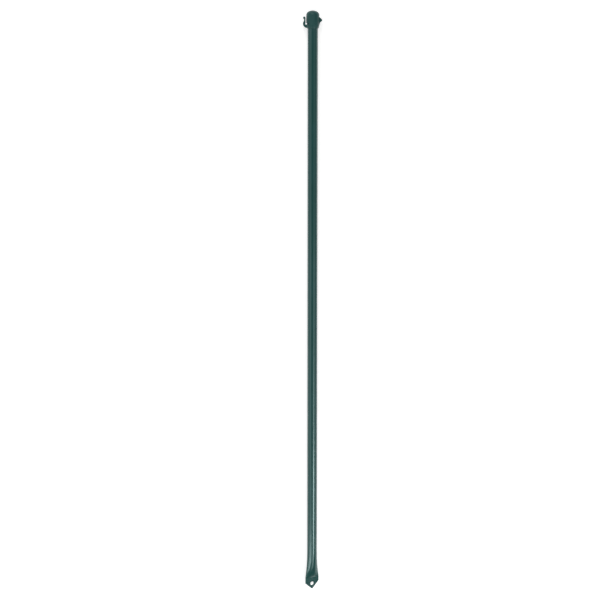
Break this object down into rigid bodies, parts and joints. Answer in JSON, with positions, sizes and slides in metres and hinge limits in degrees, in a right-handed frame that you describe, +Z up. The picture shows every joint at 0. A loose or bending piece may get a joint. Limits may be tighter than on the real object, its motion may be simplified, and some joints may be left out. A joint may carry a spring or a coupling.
{
  "type": "fence post",
  "caption": "Round coated steel fence post with a flattened, pointed and punched lower end and a domed plastic cap that carries a wire clip and a peg.",
  "frame": {"origin": "on the ground, under the middle of the post's length, as the post lies at rest", "axes": "+Y along the post towards its cap, +Z up from the ground; the wire clip points to -X and the peg to +X"},
  "size_m": [0.0475, 1.5, 0.0327],
  "materials": {
    "coated_steel": "smooth dark green coating, glossy",
    "moulded_plastic": "dark green moulded plastic, satin"
  },
  "bodies": {
    "root": {"post_tube": "coated_steel", "end_cap": "moulded_plastic"}
  },
  "joints": []
}
